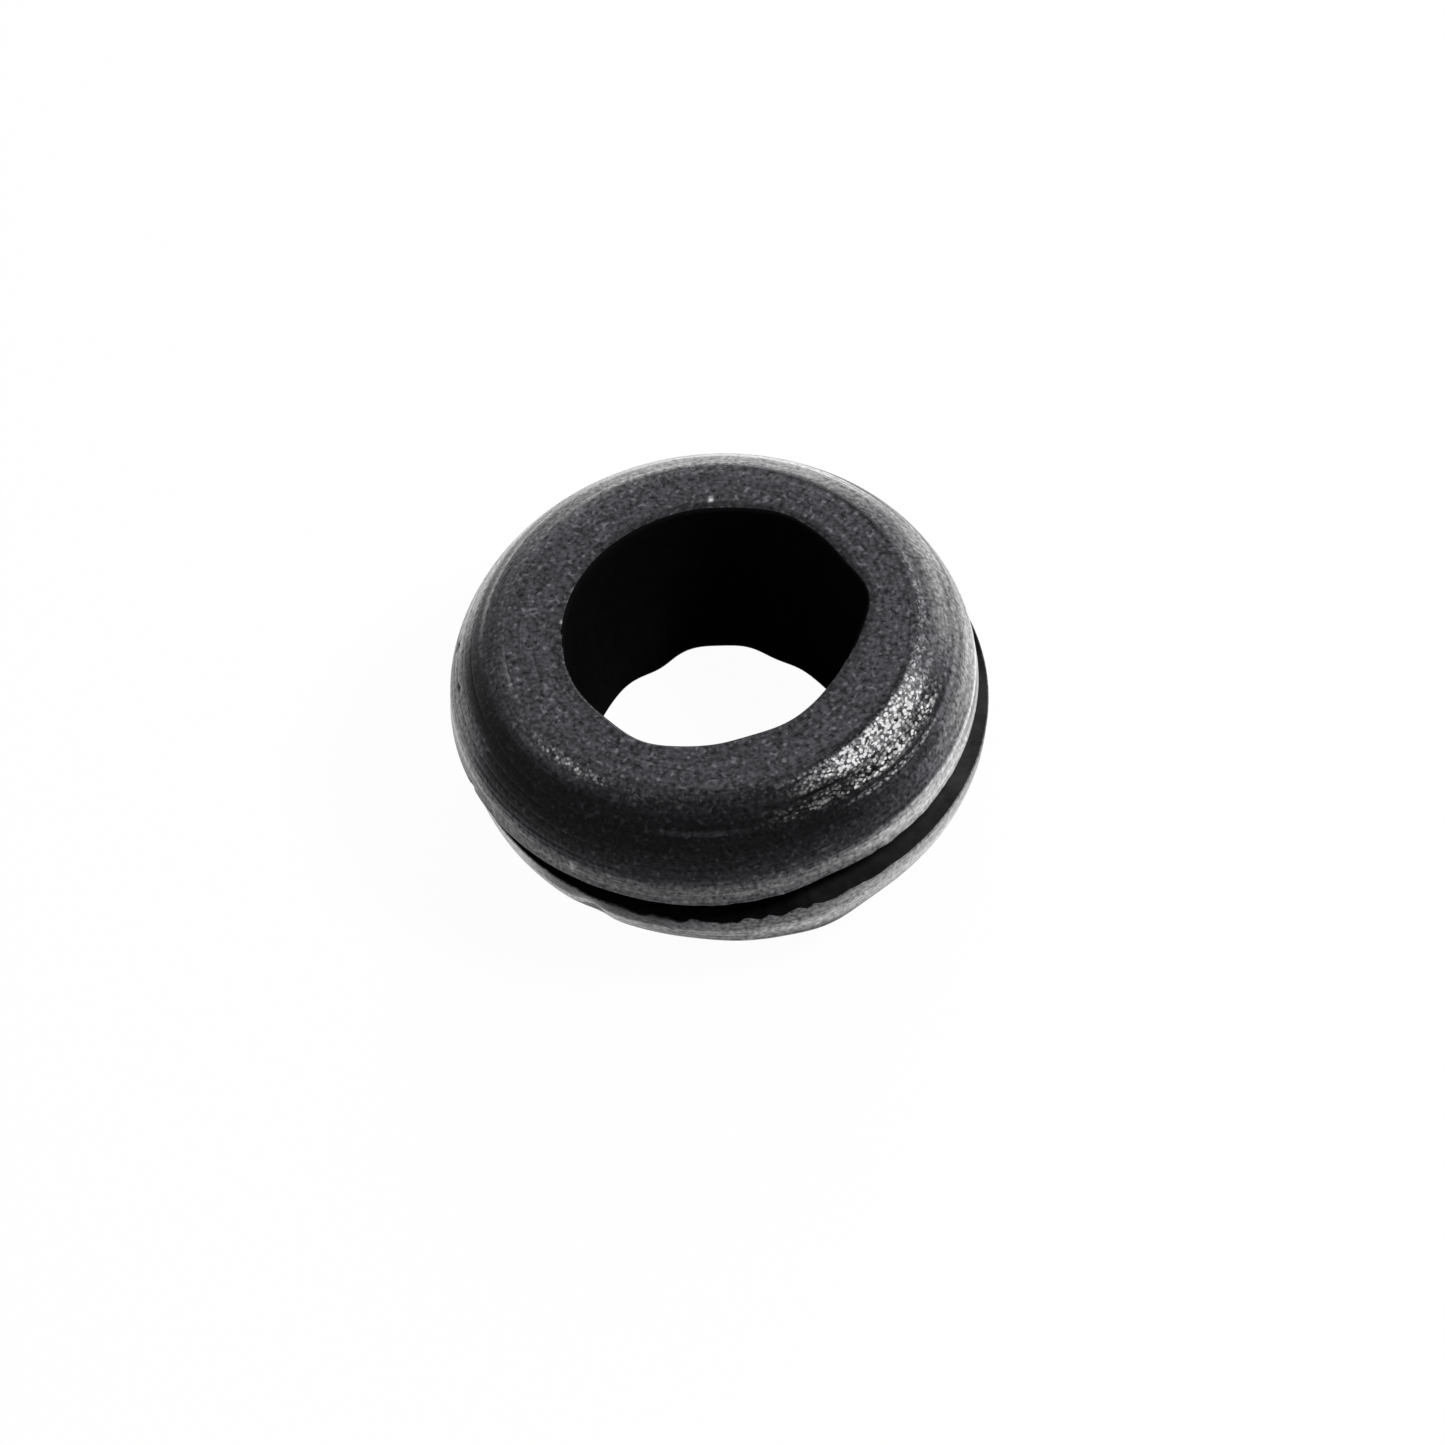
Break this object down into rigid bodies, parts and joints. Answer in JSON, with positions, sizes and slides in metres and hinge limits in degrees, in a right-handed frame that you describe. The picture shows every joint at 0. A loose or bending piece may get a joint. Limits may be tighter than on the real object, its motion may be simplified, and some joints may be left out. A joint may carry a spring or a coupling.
{
  "type": "rubber grommet",
  "caption": "Open rubber grommet: a round ring with a straight cable bore and a rounded flange on each side of a narrow panel groove, for lining a hole in sheet metal.",
  "frame": {"origin": "centre of the lower flat face, on the bore's axis, where the grommet rests", "axes": "+Z along the bore's axis, up from the lower flat face to the upper one; +X and +Y are set by how the soft ring has relaxed: the upper flange sits 0.16 mm off the axis, at 160 degrees from +X towards +Y, and the lower one opposite"},
  "size_m": [0.0178, 0.0176, 0.0071],
  "materials": {
    "rubber": "moulded black rubber: matt, finely grained faces and slightly glossier turned bands on the shoulders"
  },
  "bodies": {
    "root": {"grommet": "rubber"}
  },
  "joints": []
}
